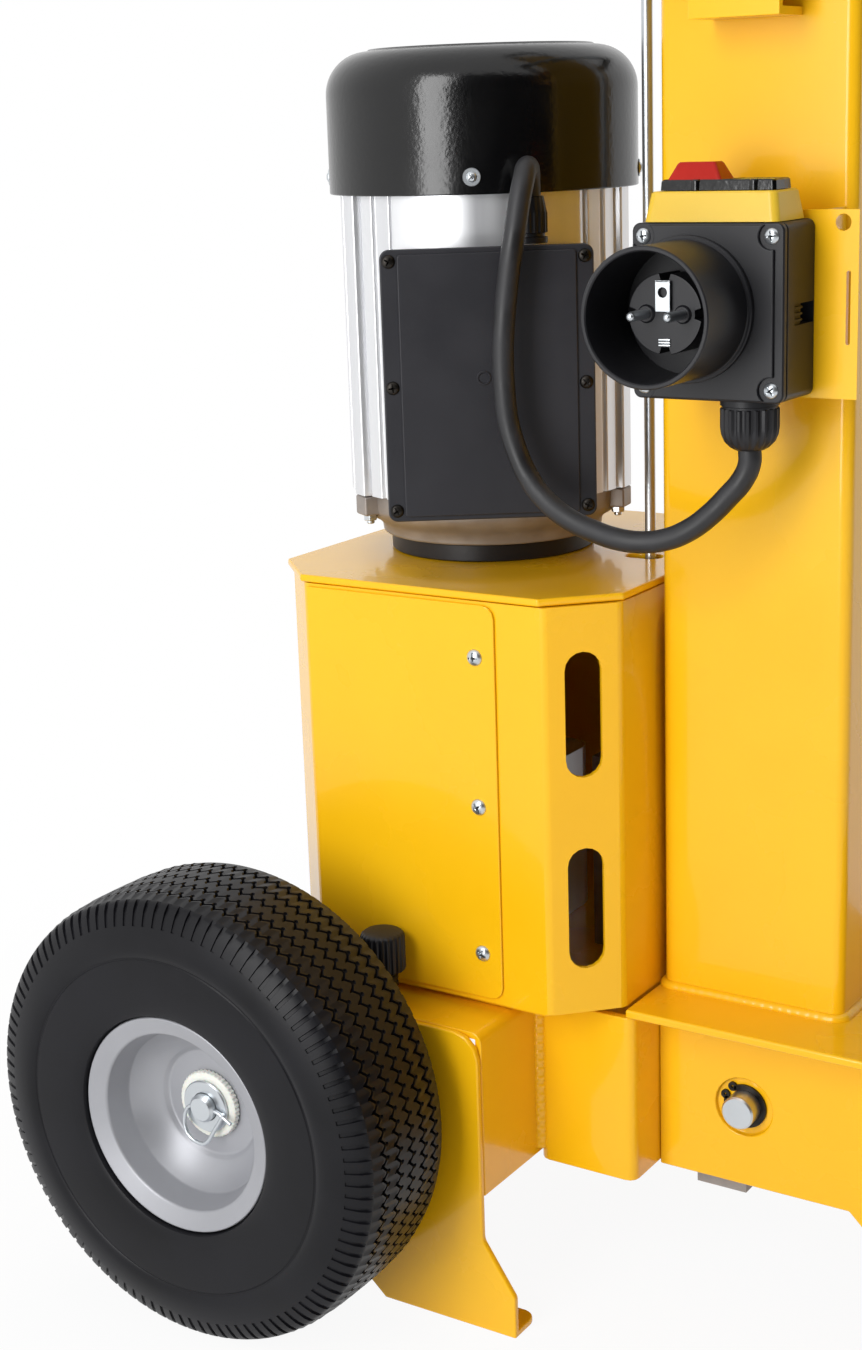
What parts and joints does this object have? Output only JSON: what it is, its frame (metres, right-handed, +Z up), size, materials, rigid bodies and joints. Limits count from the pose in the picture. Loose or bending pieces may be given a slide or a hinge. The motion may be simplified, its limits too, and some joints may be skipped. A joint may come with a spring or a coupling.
{
  "type": "log splitter",
  "caption": "Upright electric hydraulic log splitter: square column with ram and wedge, two-hand levers, flange motor on an octagonal pump house, switch with mains inlet, wheels.",
  "frame": {"origin": "Middle of the front foot's underside, on the floor, in the machine's centre plane.", "axes": "+X is the front, where the log stands; +Y is the machine's left; +Z is up."},
  "size_m": [0.7302, 0.5, 1.0383],
  "materials": {
    "yellow_paint": "gloss powder coat",
    "black_paint": "gloss powder coat",
    "silver_paint": "silver-grey paint",
    "bare_steel": "bright zinc-plated steel",
    "dark_steel": "blackened steel",
    "aluminium": "extruded",
    "cast_grey": "as cast",
    "black_plastic": "fine moulded grain",
    "yellow_plastic": "moulded",
    "red_plastic": "moulded",
    "green_plastic": "moulded",
    "cream_nylon": "moulded",
    "tyre_rubber": "moulded foam-filled tyre",
    "cable_rubber": "smooth sheath",
    "grip_rubber": "moulded grip"
  },
  "bodies": {
    "machine_frame": {"base_plate": "yellow_paint", "base_cheek_right": "yellow_paint", "base_cheek_left": "yellow_paint", "front_foot": "yellow_paint", "chassis_box": "yellow_paint", "axle_beam": "yellow_paint", "wheel_plate_right": "yellow_paint", "wheel_plate_left": "yellow_paint", "axle": "bare_steel", "oil_filler_cap": "black_plastic", "column": "yellow_paint", "column_guide": "cream_nylon", "piston_rod": "bare_steel", "base_pin": "bare_steel", "pin_circlip": "dark_steel", "pump_house": "yellow_paint", "pump_house_door": "yellow_paint", "pump_house_lid": "yellow_paint", "gear_pump": "aluminium", "control_valve": "cast_grey", "motor_flange_ring": "black_paint", "lower_end_shield": "cast_grey", "motor_stator": "aluminium", "upper_end_shield": "cast_grey", "fan_cowl": "black_paint", "terminal_box": "black_plastic", "terminal_lid": "black_plastic", "terminal_gland": "black_plastic", "motor_cable": "cable_rubber", "switch_gland": "black_plastic", "switch_bracket": "yellow_paint", "switch_box": "black_plastic", "inlet_collar": "black_plastic", "inlet_insert": "black_plastic", "switch_bezel": "yellow_plastic", "switch_frame": "black_plastic", "lever_bracket_right": "yellow_paint", "lever_bracket_left": "yellow_paint", "carry_handle": "black_paint"},
    "wheel_right": {"tyre_right": "tyre_rubber", "wheel_rim_right": "silver_paint", "hub_bush_right": "cream_nylon"},
    "wheel_left": {"tyre_left": "tyre_rubber", "wheel_rim_left": "silver_paint", "hub_bush_left": "cream_nylon"},
    "ram": {"ram_tube": "bare_steel", "ram_head": "yellow_paint", "splitting_wedge": "bare_steel", "cylinder_barrel": "dark_steel"},
    "lever_left": {"control_lever_left": "black_paint", "lever_grip_left": "grip_rubber"},
    "lever_right": {"control_lever_right": "black_paint", "lever_grip_right": "grip_rubber"},
    "valve_rod": {"control_rod": "bare_steel"},
    "motor_rotor": {"rotor": "bare_steel", "shaft_coupling": "cast_grey", "cooling_fan": "black_plastic"},
    "stop": {"stop_button": "red_plastic"},
    "start": {"start_button": "green_plastic"}
  },
  "joints": [
    {"name": "wheel_right_spin", "type": "hinge", "parent": "machine_frame", "child": "wheel_right", "pos_m": [-0.4807, -0.2075, 0.1305], "axis": [0, 1, 0], "continuous": true},
    {"name": "wheel_left_spin", "type": "hinge", "parent": "machine_frame", "child": "wheel_left", "pos_m": [-0.4807, 0.2075, 0.1305], "axis": [0, 1, 0], "continuous": true},
    {"name": "ram_slide", "type": "slide", "parent": "machine_frame", "child": "ram", "axis": [0, 0, 1], "range_m": [0, 0.48]},
    {"name": "lever_left_press", "type": "hinge", "parent": "machine_frame", "child": "lever_left", "pos_m": [-0.23, 0.062, 0.725], "axis": [0, 1, 0], "range_deg": [0, 12], "stiffness_Nm_per_rad": 20, "springref_deg": -17.19},
    {"name": "lever_right_press", "type": "hinge", "parent": "machine_frame", "child": "lever_right", "pos_m": [-0.23, -0.062, 0.725], "axis": [0, 1, 0], "range_deg": [0, 12], "stiffness_Nm_per_rad": 20, "springref_deg": -17.19},
    {"name": "valve_rod_lift", "type": "slide", "parent": "machine_frame", "child": "valve_rod", "axis": [0, 0, 1], "range_m": [0, 0.0185]},
    {"name": "motor_spin", "type": "hinge", "parent": "machine_frame", "child": "motor_rotor", "pos_m": [-0.419, 0, 0.5], "axis": [0, 0, 1], "continuous": true},
    {"name": "stop_button_press", "type": "slide", "parent": "machine_frame", "child": "stop", "axis": [0, 0, -1], "range_m": [0, 0.003], "stiffness_N_per_m": 300},
    {"name": "start_button_press", "type": "slide", "parent": "machine_frame", "child": "start", "axis": [0, 0, -1], "range_m": [0, 0.003], "stiffness_N_per_m": 300}
  ],
  "couplings": [
    {"joint": "lever_right_press", "follows": "lever_left_press", "ratio": 1},
    {"joint": "valve_rod_lift", "follows": "lever_left_press", "m_per_rad": 0.086}
  ]
}
